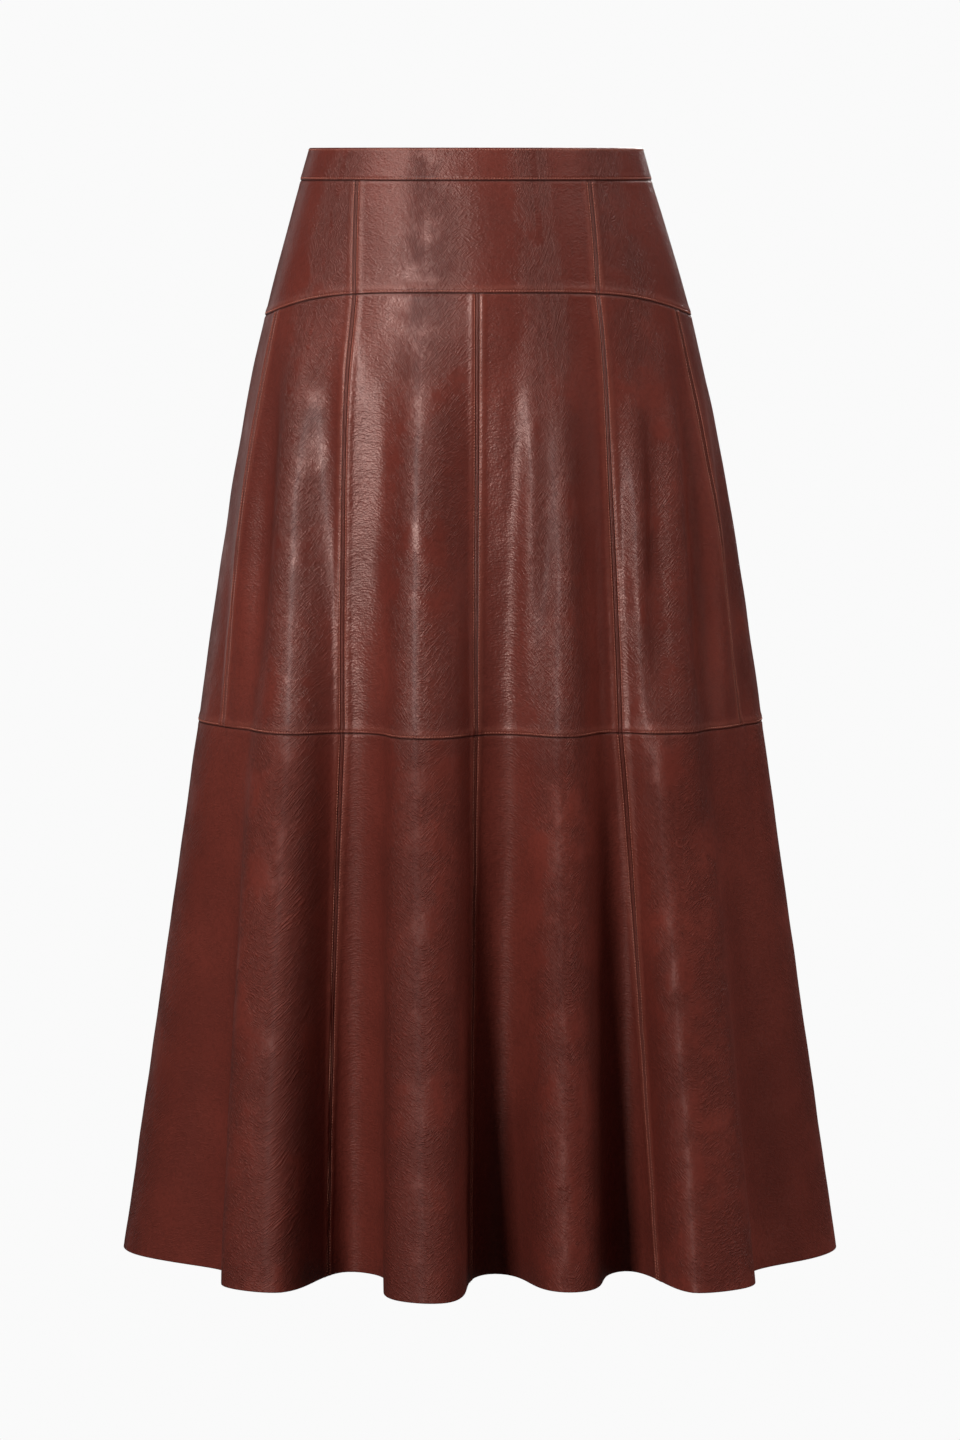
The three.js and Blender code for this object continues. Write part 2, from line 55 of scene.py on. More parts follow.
# The body without its folds: drop, half the width, the reach in front and behind, and the shift
# of the centre to the right.
SECTIONS = np.array([
    (0, 124.2, 94, 94, 0),
    (24, 131.2, 99, 100, 0),
    (58, 141.2, 106, 109, 0.7),
    (104, 154.2, 113.5, 121, 1.3),
    (165, 169, 120, 130, 1.7),
    (225, 180.6, 124, 134, 2),
    (346, 200, 128, 138, 2.4),
    (430, 212.4, 131, 143, 2.9),
    (650, 244.4, 142, 158, 3),
    (832, 271.2, 155, 172, 3),
])
WIDE, FRONT, BACK, SHIFT = 1, 2, 3, 4

# The fold lines in order round the skirt, crests and valleys in turn from the left side: angle at
# the yoke and at the hem, offset at the hem, growth down the skirt, steepness of the next wall.
FOLD_LINES = np.array([
    (-90, -90, 0, 1.5, 0.1),       # left side
    (-68, -51.3, -11, 2, 0.95),    # left slope
    (-50, -29.8, 62, 1.5, 0.8),    # first flute
    (-28, -22.4, -38, 1.5, 0.95),  # left princess valley
    (-15, -6.1, 82, 1.5, 1),       # second flute
    (7, 2.3, -40, 1.3, 0.45),      # centre valley
    (19, 13.2, 41, 1.3, 0.4),      # third flute
    (30, 25.8, -37, 1.5, 1),       # right princess valley
    (46, 31.3, 66, 2, 0.75),       # fourth flute
    (66, 56, -6, 2, 0.1),          # right slope
    (90, 90, 0, 1.5, 0.1),         # right side
    (112, 112, -14, 1.6, 0.6),     # right back slope
    (125, 129, 46, 2.2, 0.7),      # first back flute
    (139, 144, -34, 1.8, 0.8),     # right back valley
    (154, 157, 56, 1.9, 0.8),      # second back flute
    (168, 170, -36, 1.4, 0.6),     # centre back valley
    (184, 184, 45, 1.6, 0.7),      # third back flute
    (199, 198, -38, 1.7, 0.8),     # left inner valley
    (213, 212, 58, 2.1, 0.8),      # fourth back flute
    (227, 225, -32, 1.8, 0.7),     # left back valley
    (240, 239, 42, 2.3, 0.5),      # fifth back flute
    (252, 255, -12, 1.6, 0.1),     # left back slope
])
YOKE_ANGLE, HEM_ANGLE, OFFSET, GROWTH, STEEP = range(5)
FOLDS = len(FOLD_LINES)
SOFTENING = (-0.12, -0.06, 0, 0.06, 0.12)

# Seams down the skirt, as places round the fold lines at four levels.
SEAMS = {
    "front left": {"band": 2.37, "yoke": 2.65, "middle": 2.8, "hem": 2.69},
    "front centre": {"yoke": 4.68, "middle": 4.7, "hem": 4.67},
    "front right": {"band": 7.59, "yoke": 7.29, "middle": 7.15, "hem": 7.45},
    "side front left": {"yoke": 0.88, "middle": 0.85},
    "side front right": {"yoke": 9.1, "middle": 9.22},
    "side back right": {"yoke": 11.1, "middle": 11},
    "back right": {"band": 13.2, "yoke": 13.45, "middle": 13.5, "hem": 13.4},
    "back centre": {"band": 15.75, "yoke": 15.75, "middle": 15.74, "hem": 15.8},
    "back left": {"band": 18.65, "yoke": 18.35, "middle": 18.3, "hem": 18.4},
    "side back left": {"yoke": 21.15, "middle": 21.2},
}

# Soft creases that the hang of the leather adds: place at the top and at the foot, the drops
# where it starts, is highest and ends, its height (a trough's is negative) and its half width.
CREASES = [
    (0.8, 1.3, 130, 300, 620, 4, 25),       # left slope ridge
    (1.2, 1.8, 120, 300, 560, -4, 20),      # left slope trough
    (1.8, 2.1, 112, 235, 520, 5, 25),       # first flute ridge
    (2.3, 2.7, 118, 260, 560, -4, 20),      # first flute wall
    (2.6, 2.8, 112, 180, 330, 2, 15),       # left princess ridge
    (3.3, 3.5, 118, 250, 560, -3, 20),      # left princess trough
    (4, 3.9, 112, 240, 560, 4, 25),         # second flute ridge
    (4.6, 4.7, 118, 240, 560, -4, 25),      # second flute wall
    (5.9, 5.1, 112, 250, 520, 5, 20),       # centre valley ridge
    (5.9, 5.5, 120, 240, 480, -4, 15),      # third flute nick
    (6.3, 6, 112, 250, 520, 5, 20),         # third flute ridge
    (7.3, 6.8, 118, 250, 560, -5, 25),      # third flute wall
    (7.9, 7.4, 150, 270, 500, 4, 15),       # right princess ridge
    (8.1, 7.7, 170, 290, 500, -5, 15),      # right princess nick
    (8.5, 8.1, 120, 260, 560, 6, 20),       # fourth flute ridge
    (8.9, 8.3, 118, 260, 560, -4, 20),      # fourth flute trough
    (9.4, 8.6, 125, 300, 600, 4, 20),       # right slope ridge
    (9.7, 9.1, 150, 320, 620, -4, 20),      # right slope trough
    (10.1, 10.3, 140, 310, 580, 2, 26),     # right side ridge
    (10.8, 10.9, 135, 280, 560, -2, 24),    # right side trough
    (11.8, 11.95, 118, 250, 540, 3.5, 24),  # first back ridge
    (12.5, 12.6, 124, 270, 520, -2.5, 20),  # first back trough
    (13.75, 13.95, 112, 235, 560, 4, 26),   # second back ridge
    (14.6, 14.5, 120, 260, 500, -3, 22),    # second back trough
    (16.3, 16, 130, 290, 540, 2.5, 20),     # third back ridge
    (17, 16.9, 124, 240, 520, -2.5, 22),    # third back trough
    (17.9, 18, 115, 255, 560, 4, 24),       # fourth back ridge
    (18.7, 18.6, 118, 230, 480, -3, 20),    # fourth back trough
    (20.2, 20, 122, 265, 540, 3, 24),       # fifth back ridge
    (20.9, 20.6, 130, 300, 560, -2, 20),    # fifth back trough
]

# How many places to each side a crease can reach, how many stations its width is measured at, and
# the short way round that a slope is measured over.
CREASE_REACH = 1.5
CREASE_STATIONS = 30
NEARBY = 0.01


def smooth(low, high, value):
    """0 below low and 1 above high, with a cubic ease between."""
    t = np.clip((value - low) / (high - low), 0, 1)
    return t * t * (3 - 2 * t)


def mix(a, b, share):
    """The value at a share of the way from a to b."""
    return a + (b - a) * share


def unit(vectors):
    """Vectors at a length of 1."""
    return vectors / np.linalg.norm(vectors, axis=-1, keepdims=True)


def section(drop, column):
    """One column of the sections at each drop: a cubic through the rows, with each slope the mean
    of the two rises beside it."""
    rows, values = SECTIONS[:, 0], SECTIONS[:, column]
    rises = np.diff(values) / np.diff(rows)
    slopes = np.concatenate([rises[:1], (rises[:-1] + rises[1:]) / 2, rises[-1:]])
    at = np.clip(drop, 0, HEM_DROP)
    i = np.clip(np.searchsorted(rows, at) - 1, 0, len(rows) - 2)
    span = rows[i + 1] - rows[i]
    t = (at - rows[i]) / span
    ease = t * t * (3 - 2 * t)
    leave = t * (1 - t) ** 2 * span * slopes[i]
    arrive = t * t * (1 - t) * span * slopes[i + 1]
    return mix(values[i], values[i + 1], ease) + leave - arrive


def fold(place, share):
    """Angle and offset of a place round the folds: from one line to the next the offset goes as
    half a cosine wave, and the angle lags at both ends by a sine wave, so that walls stand steep."""
    turns = np.floor(place / FOLDS)
    local = place - turns * FOLDS
    i = np.floor(local).astype(int)
    t = local - i
    line, after = FOLD_LINES[i % FOLDS], FOLD_LINES[(i + 1) % FOLDS]
    wrap = np.where(i + 1 >= FOLDS, 360, 0)
    angle = mix(line[..., YOKE_ANGLE], line[..., HEM_ANGLE], share)
    next_angle = mix(after[..., YOKE_ANGLE], after[..., HEM_ANGLE], share) + wrap
    offset = line[..., OFFSET] * share ** line[..., GROWTH]
    next_offset = after[..., OFFSET] * share ** after[..., GROWTH]
    along = t + line[..., STEEP] * share / (2 * np.pi) * np.sin(2 * np.pi * t)
    eased = (1 - np.cos(np.pi * t)) / 2
    return mix(angle, next_angle, along) + 360 * turns, mix(offset, next_offset, eased)


def folded_plan(place, drop):
    """The folded skirt seen from above: a point on an oval, moved out along the oval's normal by
    the fold's offset. Five nearby places are averaged, which rounds the fold lines off. The
    normal comes second."""
    share = np.clip((drop - YOKE_DROP) / (HEM_DROP - YOKE_DROP), 0, 1)
    angle, offset = 0, 0
    for step in SOFTENING:
        a, o = fold(place + step, share)
        angle, offset = angle + a / len(SOFTENING), offset + o / len(SOFTENING)
    sine, cosine = np.sin(np.radians(angle)), np.cos(np.radians(angle))
    wide = section(drop, WIDE)
    deep = np.where(cosine > 0, section(drop, FRONT), section(drop, BACK))
    normal = unit(np.stack([sine / wide, -cosine / deep], axis=-1))
    point = np.stack([section(drop, SHIFT) + wide * sine, -deep * cosine], axis=-1)
    return point + normal * offset[..., None], normal


def crease_scales():
    """For each crease, drops along it and how many millimetres of cloth one unit of place is worth
    there, so that a crease keeps its width while the folds open."""
    scales = []
    for begin, finish, start, peak, end, height, half_width in CREASES:
        drops = np.linspace(start, end, CREASE_STATIONS)
        middle = mix(begin, finish, (drops - start) / (end - start))
        ahead, _ = folded_plan(middle + NEARBY, drops)
        behind, _ = folded_plan(middle - NEARBY, drops)
        scales.append((drops, np.linalg.norm(ahead - behind, axis=-1) / (2 * NEARBY)))
    return scales


def crease_offset(place, drop):
    """How far the creases move the cloth out: across each one half a cosine wave on each side of
    its middle line, and down it a smooth rise to its peak and a smooth fall to its end."""
    offset = np.zeros(np.broadcast(place, drop).shape)
    for crease, (drops, scale) in zip(CREASES, CREASE_SCALES):
        begin, finish, start, peak, end, height, half_width = crease
        away = place - mix(begin, finish, (drop - start) / (end - start))
        away = np.abs(away - FOLDS * np.round(away / FOLDS))
        reach = away * np.interp(drop, drops, scale)
        across = np.where(reach < half_width, (1 + np.cos(np.pi * reach / half_width)) / 2, 0)
        across = np.where(away < CREASE_REACH, across, 0)
        offset += height * across * smooth(start, peak, drop) * (1 - smooth(peak, end, drop))
    return offset


def plan(place, drop):
    """The skirt with its folds and creases, seen from above."""
    point, normal = folded_plan(place, drop)
    return point + normal * crease_offset(place, drop)[..., None]


def surface(place, drop, out=0.0):
    """The skirt's outer face, moved out level by a distance along its normal seen from above."""
    place, drop, out = np.broadcast_arrays(place, drop, out)
    point = plan(place, drop)
    run = unit(plan(place + NEARBY, drop) - plan(place - NEARBY, drop))
    x = point[..., 0] + run[..., 1] * out
    y = point[..., 1] - run[..., 0] * out
    return np.stack([x, y, WAIST_MIDDLE - drop], axis=-1)


def yoke_seam(place):
    """The drop of the yoke's lower seam: level in front, and lower by the dip at the sides."""
    angle, _ = fold(np.asarray(place, dtype=float), 0.0)
    return YOKE_DROP + YOKE_SIDE_DIP * np.abs(np.sin(np.radians(angle))) ** 5


CREASE_SCALES = crease_scales()

# How far the stitches and the grooves lie from a seam and a row of stitches from a tier's edge, the
# stitches' pitch, length and width, the doubled leather beside a seam, and the opening of a sewn one.
STITCH_INSET = 2.2
GROOVE_INSET = 1.15
ROW_INSET = 1.6
STITCH_PITCH = 2.1
STITCH_LENGTH = 1.75
STITCH_WIDTH = 0.75
ALLOWANCE = 6
SEWN_GAP = 0.03

# The opening of the centre back seam at the slider's neck and below it, the drops between which it
# closes, and how long its foot takes to become a sewn seam.
NECK_GAP = 1.7
ZIP_GAP = 0.3
NECK_DROPS = (16, 34)
ZIP_FOOT = 12

# The cloth's grid: its fine steps beside a seam and beside a tier's edge, how far apart its columns
# and rows are between them, and how many points a unit of place is measured with.
EDGE_STEPS = np.array([0, 0.2, 0.45, 0.8, 1.15, 1.5, 1.85, 2.2, 2.7, 3.3, 4.1, 5.1, 6.2, 7.4, 9.2])
RIM_STEPS = np.array([0, 0.3, 0.7, 1.15, 1.6, 2.2, 3.2, 4.8, 6.6])
FACET = 4.6
ROW_FACET = 3.7
SAMPLES = 36

# Each tier's seam levels at its top and its foot, how far it stands out, and its thickness.
TIERS = {
    "band": ("band", "band", BAND_PROUD, BAND_THICKNESS),
    "yoke": ("band", "yoke", 0, LEATHER),
    "middle": ("yoke", "middle", 0, LEATHER),
    "lower": ("middle", "hem", 0, LEATHER),
}

# The pieces in order round each tier: the node each one dresses and the seam where it starts. It
# ends where the next one starts.
RINGS = {
    "band": {"waistband": "back centre"},
    "yoke": {
        "yoke_front_centre": "front left",
        "yoke_side_right": "front right",
        "yoke_back_right": "back right",
        "yoke_back_left": "back centre",
        "yoke_side_left": "back left",
    },
    "middle": {
        "middle_front_outer_left": "side front left",
        "middle_front_inner_left": "front left",
        "middle_front_inner_right": "front centre",
        "middle_front_outer_right": "front right",
        "middle_side_right": "side front right",
        "middle_back_outer_right": "side back right",
        "middle_back_inner_right": "back right",
        "middle_back_inner_left": "back centre",
        "middle_back_outer_left": "back left",
        "middle_side_left": "side back left",
    },
    "lower": {
        "lower_front_left": "front left",
        "lower_front_right": "front centre",
        "lower_side_right": "front right",
        "lower_back_right": "back right",
        "lower_back_left": "back centre",
        "lower_side_left": "back left",
    },
}
PIECES = []
for tier, ring in RINGS.items():
    starts = list(ring.values())
    ends = starts[1:] + starts[:1]
    PIECES += [(node, tier, start, end) for (node, start), end in zip(ring.items(), ends)]

# How strongly the leather puckers beside each seam, in millimetres.
PUCKERS = {
    "front left": 0.24,
    "front centre": 0.12,
    "front right": 0.16,
    "side front left": 0.1,
    "side front right": 0.12,
    "side back right": 0.1,
    "back right": 0.2,
    "back centre": 0.14,
    "back left": 0.22,
    "side back left": 0.12,
}
PUCKER_LENGTH = 13
PUCKER_REACH = 10

# The drift of a pucker along its seam: height, wave length and phase a seam of two sine waves, and
# the wave length and phase a seam of its swell.
PUCKER_DRIFTS = [(1.7, 37, 2.3), (1.1, 17.3, 1)]
PUCKER_SWELL = (29, 4.1)
PUCKER_CALM = (0.3, 90, 150)

# Bells across an edge: height, distance from the edge, and width. On the leather they are the joint
# of a seam, the groove beside it, the stitches' dip and the swell past it, then the band's stitches,
# a tucked top edge and its swell, and a foot's joint, stitches and swell.
SEAM_JOINT = (-0.3, 0, 0.2)
SEAM_GROOVE = (-0.55, GROOVE_INSET, 0.42)
SEAM_STITCHES = (-0.12, STITCH_INSET, 0.45)
SEAM_SWELL = (0.16, STITCH_INSET + 1.5, 0.9)
BAND_STITCHES = (-0.12, ROW_INSET, 0.45)
TUCKED_EDGE = (-0.45, 0, 0.9)
TUCKED_SWELL = (0.14, 2.6, 1.6)
FOOT_JOINT = (-0.55, 0, 0.45)
FOOT_STITCHES = (-0.2, ROW_INSET, 0.45)
FOOT_SWELL = (0.12, ROW_INSET + 1.4, 0.8)
SEAM_DOUBLED = 0.4
FOOT_DOUBLED = 0.45

# The shade in the same places: a groove, a joint, a tier's top and its foot.
GROOVE_SHADE = (0.85, GROOVE_INSET, 0.4)
JOINT_SHADE = (0.6, 0, 0.15)
TOP_SHADE = (1, 0, 0.7)
FOOT_SHADE = (1, 0, 0.6)

# Rolled edges, as height and reach: the band's folded top and the cut hem. The roll's depth is how
# far down the band's inner side follows it.
BAND_ROLL = (0.95, 1)
HEM_ROLL = (0.45, 0.6)
ROLL_DEPTH = 2

# Soft unevenness of the hide: height, wave length across and down, and phase of each wave. A wave
# that leans the other way has a negative length across. It swells over longer lengths across and
# down, is calm at the waist, and shows less on the inner side.
HIDE_WAVES = [
    (0.17, 58, 96, 0.4),
    (0.14, -47, 71, 2.1),
    (0.10, 33, 52, 4.0),
    (0.08, -29, 120, 1.2),
    (0.06, 24, 37, 5.1),
]
SWELL_ACROSS = 83
SWELL_DOWN = 131
WAIST_CALM = (0.25, 60, 170)
INNER_WAVES = 0.6

# Millimetres of cloth in one unit of place, the reach of a fold's sides from its crest, and how far
# apart the pieces lie in the cloth's map.
PLACE_CLOTH = 46
CREST_SPACING = 42
MAP_SPACING = 700


def tier_edges(tier, place):
    """The drops of a tier's top and foot at each place."""
    level = np.zeros_like(place)
    if tier == "band":
        return level, level + BAND_HEIGHT
    if tier == "yoke":
        return level + BAND_HEIGHT, yoke_seam(place)
    if tier == "middle":
        return yoke_seam(place), level + MIDDLE_SEAM_DROP
    return level + MIDDLE_SEAM_DROP, level + HEM_DROP


def cloth_scale(place, drop):
    """How many millimetres of cloth one unit of place is worth."""
    ahead, behind = plan(place + NEARBY, drop), plan(place - NEARBY, drop)
    return np.linalg.norm(ahead - behind, axis=-1) / (2 * NEARBY)


def seam_gap(seam, drop):
    """Half the opening of a seam: a thread's width where it is sewn, and at the centre back wide
    round the slider's neck and closing below it."""
    if seam != "back centre":
        return np.full_like(drop, SEWN_GAP / 2)
    closing = mix(NECK_GAP, ZIP_GAP, smooth(*NECK_DROPS, drop))
    return mix(closing, SEWN_GAP, smooth(ZIP_DROP - ZIP_FOOT, ZIP_DROP, drop)) / 2


def graded(span, facet, near, far):
    """Lines across a span, as three arrays a, b and m: each line lies at mix(low + a, high - b, m),
    in fixed steps from both ends and about a facet apart between them."""
    count = max(2, round((span - near[-1] - far[-1]) / facet))
    inner = np.arange(1, count) / count
    a = np.concatenate([near, np.full(count - 1 + len(far), near[-1])])
    b = np.concatenate([np.full(len(near) + count - 1, far[-1]), far[::-1]])
    return a, b, np.concatenate([np.zeros(len(near)), inner, np.ones(len(far))])


def bell(away, shape):
    """A bell across an edge: its height times e to the minus square of the widths to its middle."""
    height, middle, width = shape
    return height * np.exp(-(((away - middle) / width) ** 2))


def rolled(away, shape):
    """A quarter circle that rises from minus its height at the edge to 0 at its reach."""
    height, reach = shape
    return height * (np.sqrt(np.clip(1 - (1 - np.clip(away / reach, 0, 1)) ** 2, 0, 1)) - 1)


def calmed(calm, drop):
    """The share of a relief that shows: small above two drops, and growing to all of it."""
    share, low, high = calm
    return mix(share, 1, smooth(low, high, drop))


def hide_waves(place, drop):
    """The hide's soft unevenness: a sum of slanting sine waves over cloth and drop, calm at the
    waist and fuller below the yoke."""
    across = place * PLACE_CLOTH
    height = 0
    for size, wide, tall, phase in HIDE_WAVES:
        swell = 0.65 + 0.35 * np.sin(across / SWELL_ACROSS + drop / SWELL_DOWN + 3 * phase)
        height = height + size * swell * np.sin(2 * np.pi * (across / wide + drop / tall) + phase)
    return height * calmed(WAIST_CALM, drop)


def pucker(seam, side, drop):
    """The pulls along a seam: a sine wave down it whose phase and height drift, unlike on its two
    sides."""
    order = list(SEAMS).index(seam) + (0.5 if side > 0 else 0)
    drift = sum(size * np.sin(drop / length + turn * order) for size, length, turn in PUCKER_DRIFTS)
    length, turn = PUCKER_SWELL
    swell = 0.55 + 0.45 * np.sin(drop / length + turn * order)
    height = PUCKERS[seam] * swell * calmed(PUCKER_CALM, drop)
    return height * np.sin(2 * np.pi * drop / PUCKER_LENGTH + drift + order)


def seam_relief(seam, side, away, drop):
    """The leather beside a seam that runs down the skirt: a narrow lip along the joint, a groove
    on each side of it, raised where it is doubled, drawn in under the stitches, and puckered."""
    bells = sum(bell(away, shape) for shape in (SEAM_JOINT, SEAM_GROOVE, SEAM_STITCHES, SEAM_SWELL))
    doubled = SEAM_DOUBLED * (1 - smooth(ALLOWANCE - 1.5, ALLOWANCE + 1.5, away))
    fade = smooth(0.4, 2.5, away) * (1 - smooth(3, PUCKER_REACH, away))
    return bells + doubled + pucker(seam, side, drop) * fade


def top_relief(tier, away):
    """The leather under a tier's top edge, which is folded on the waistband and tucked below the
    tier above on the others."""
    if tier == "band":
        return rolled(away, BAND_ROLL) + bell(away, BAND_STITCHES)
    return bell(away, TUCKED_EDGE) + bell(away, TUCKED_SWELL)


def foot_relief(tier, away):
    """The leather above a tier's foot: doubled and stitched where the next tier is sewn on, and a
    plain rounded edge at the hem."""
    if tier == "lower":
        return rolled(away, HEM_ROLL)
    height = 0 if tier == "band" else FOOT_DOUBLED
    doubled = height * (1 - smooth(ALLOWANCE - 2, ALLOWANCE + 1.5, away))
    return doubled + bell(away, FOOT_STITCHES) + bell(away, FOOT_SWELL) + bell(away, FOOT_JOINT)


def cloth_relief(tier, seams, place, drop, away):
    """All the fine relief of a piece: away holds its distances from its start and end seam and
    from its top and foot."""
    start, end = seams
    relief = seam_relief(start, 1, away[0], drop) + seam_relief(end, -1, away[1], drop)
    relief = relief + top_relief(tier, away[2]) + foot_relief(tier, away[3])
    return relief + hide_waves(place, drop)


def piece_grid(tier, start, end):
    """Rows and columns of one piece of cloth: the place and the drop of every point, and its
    distances from the start and end seam and from the top and the foot."""
    top_level, foot_level, _, _ = TIERS[tier]
    begins, ends = SEAMS[start], SEAMS[end]
    turn = FOLDS if ends[foot_level] <= begins[foot_level] else 0
    head, foot = tier_edges(tier, np.array([begins[top_level]], dtype=float))
    a, b, m = graded((foot - head)[0], ROW_FACET, RIM_STEPS, RIM_STEPS)
    edge_places = []
    for levels, shift in ((begins, 0), (ends, turn)):
        at = np.full(len(a), levels[top_level] + shift, dtype=float)
        head, foot = tier_edges(tier, at)
        share = (mix(head + a, foot - b, m) - head) / (foot - head)
        edge_places.append(mix(levels[top_level] + shift, levels[foot_level] + shift, share))
    first, last = edge_places
    along = np.linspace(0, 1, 2 + round(SAMPLES * (last - first).max()))
    place = mix(first[:, None], last[:, None], along)
    head, foot = tier_edges(tier, place)
    points = surface(place, mix(head + a[:, None], foot - b[:, None], m[:, None]))
    steps = np.linalg.norm(np.diff(points, axis=1), axis=-1)
    arc = np.concatenate([np.zeros((len(a), 1)), np.cumsum(steps, axis=1)], axis=1)
    length = arc[:, -1:]
    ca, cb, cm = graded(length.max(), FACET, EDGE_STEPS, EDGE_STEPS)
    gaps = []
    for seam, at in ((start, first), (end, last)):
        head, foot = tier_edges(tier, at)
        gaps.append(seam_gap(seam, mix(head + a, foot - b, m)[:, None]))
    wanted = mix(gaps[0] + ca, length - gaps[1] - cb, cm)
    place = np.stack([np.interp(w, row, p) for w, row, p in zip(wanted, arc, place)])
    head, foot = tier_edges(tier, place)
    drop = mix(head + a[:, None], foot - b[:, None], m[:, None])
    away = (wanted, length - wanted, drop - head, foot - drop)
    return place, drop, away


def make_mesh(name, points, face_groups):
    """A mesh object from points in millimetres and arrays of faces, each array with one number of
    corners."""
    corners = np.concatenate([group.ravel() for group in face_groups])
    sizes = np.concatenate([np.full(len(group), group.shape[1]) for group in face_groups])
    starts = np.concatenate([[0], np.cumsum(sizes)[:-1]])
    mesh = bpy.data.meshes.new(name)
    mesh.vertices.add(len(points))
    mesh.vertices.foreach_set("co", (points * METRES).astype(np.float32).ravel())
    mesh.loops.add(len(corners))
    mesh.loops.foreach_set("vertex_index", corners.astype(np.int32))
    mesh.polygons.add(len(sizes))
    mesh.polygons.foreach_set("loop_start", starts.astype(np.int32))
    mesh.update(calc_edges=True)
    mesh.shade_smooth()
    made = bpy.data.objects.new(name, mesh)
    bpy.context.scene.collection.objects.link(made)
    return made


def add_uv(piece, name, across, down):
    """A UV map in metres for both faces of a wall, from two values a point in millimetres."""
    mesh = piece.data
    corners = np.empty(len(mesh.loops), dtype=np.int32)
    mesh.loops.foreach_get("vertex_index", corners)
    face = np.stack([across.ravel(), -down.ravel()], axis=-1) * METRES
    values = np.concatenate([face, face])
    layer = mesh.uv_layers.new(name=name)
    layer.data.foreach_set("uv", values[corners].astype(np.float32).ravel())


def add_values(piece, name, values):
    """One number a point of a wall's outer face, which a material can read. It is 0 inside."""
    layer = piece.data.attributes.new(name, "FLOAT", "POINT")
    layer.data.foreach_set("value", np.stack([values, 0 * values]).astype(np.float32).ravel())


def wall_faces(rows, columns):
    """The faces of a closed wall between two grids of points, the outer one first: both grids'
    cells, and the strips that join their four edges. All face outwards."""
    out, back = np.arange(2 * rows * columns).reshape(2, rows, columns)

    def quads(*corners):
        return np.stack(corners, axis=-1).reshape(-1, 4)

    outer = quads(out[:-1, :-1], out[1:, :-1], out[1:, 1:], out[:-1, 1:])
    rest = [
        quads(back[:-1, :-1], back[:-1, 1:], back[1:, 1:], back[1:, :-1]),
        quads(out[:-1, 0], back[:-1, 0], back[1:, 0], out[1:, 0]),
        quads(out[:-1, -1], out[1:, -1], back[1:, -1], back[:-1, -1]),
        quads(out[0, :-1], out[0, 1:], back[0, 1:], back[0, :-1]),
        quads(back[-1, :-1], back[-1, 1:], out[-1, 1:], out[-1, :-1]),
    ]
    return outer, np.concatenate(rest)


def make_wall(name, outer, inner, face_materials):
    """A closed wall between an outer and an inner grid of points, with one material on its outer
    face and one on the rest."""
    rows, columns = outer.shape[:2]
    faces, rest = wall_faces(rows, columns)
    piece = make_mesh(name, np.concatenate([outer.reshape(-1, 3), inner.reshape(-1, 3)]), [faces, rest])
    for material in face_materials:
        piece.data.materials.append(material)
    index = np.concatenate([np.zeros(len(faces)), np.ones(len(rest))]).astype(np.int32)
    piece.data.polygons.foreach_set("material_index", index)
    piece.data.set_sharp_from_angle(angle=math.radians(55))
    return piece


def from_crest(place):
    """About how far the nearest crest is, which lies at every even place: the height of half a
    sine wave, so that it turns sharply at a crest and softly in a valley."""
    return CREST_SPACING * np.abs(np.sin(np.pi * place / 2))


def make_piece(node, tier, start, end, leather, flesh):
    """One piece of leather on its node's form, with its seams, puckers and unevenness, and what it
    was cut to: its widest row, its longest column and its area."""
    place, drop, away = piece_grid(tier, start, end)
    _, _, proud, thickness = TIERS[tier]
    relief = cloth_relief(tier, (start, end), place, drop, away)
    outer = surface(place, drop, proud + relief)
    rolled_in = top_relief(tier, away[2]) * (away[2] < ROLL_DEPTH) if tier == "band" else 0
    waves = hide_waves(place, drop)
    inner = surface(place, drop, proud - thickness - rolled_in + INNER_WAVES * waves)
    piece = make_wall(f"{node}_leather", outer, inner, (leather, flesh))
    across = away[0] + MAP_SPACING * PIECES.index((node, tier, start, end))
    add_uv(piece, "cloth", across, drop)
    add_uv(piece, "folds", from_crest(place), drop)
    # Painted shade: the colour darkens along each seam's joint and in the grooves beside it, under a tier's
    # tucked top and at its foot.
    grooves = [bell(edge, GROOVE_SHADE) + bell(edge, JOINT_SHADE) for edge in away[:2]]
    joint_and_groove_shade = np.maximum.reduce([*grooves, bell(away[2], TOP_SHADE)])
    if tier != "lower":
        joint_and_groove_shade = np.maximum(joint_and_groove_shade, bell(away[3], FOOT_SHADE))
    if tier == "band":
        joint_and_groove_shade = joint_and_groove_shade * smooth(0.5, ROLL_DEPTH, away[2])
    add_values(piece, "joint_and_groove_shade", joint_and_groove_shade)
    add_values(piece, "worn", smooth(0, 0.5, relief - waves))
    widths = (away[0] + away[1])[:, 0]
    steps = np.linalg.norm(np.diff(outer, axis=0), axis=-1)
    mean_widths = (widths[1:] + widths[:-1]) / 2
    area = float((mean_widths * steps.mean(axis=1)).sum())
    return piece, (float(widths.max()), float(steps.sum(axis=0).max()), area)


def directions(place, drop):
    """The ways that the cloth runs across and down."""
    across = surface(place + NEARBY, drop) - surface(place - NEARBY, drop)
    return across, surface(place, drop + 0.5) - surface(place, drop - 0.5)


def stitch_row(place, drop, out):
    """The stitches of one row, walked at the pitch along the line through the given places, drops
    and heights: their middles, the way they run and the way out of the leather."""
    line = surface(place, drop, out)
    across, down = directions(place, drop)
    outward = np.cross(down, across)
    steps = np.linalg.norm(np.diff(line, axis=0), axis=-1)
    arc = np.concatenate([[0], np.cumsum(steps)])
    count = int(arc[-1] / STITCH_PITCH)
    at = (np.arange(count) + 0.5) * arc[-1] / count
    middle, run, up = (
        np.stack([np.interp(at, arc, column) for column in field.T], axis=-1)
        for field in (line, np.gradient(line, axis=0), outward)
    )
    run = unit(run)
    up = unit(up - run * (up * run).sum(axis=-1, keepdims=True))
    return middle, run, up


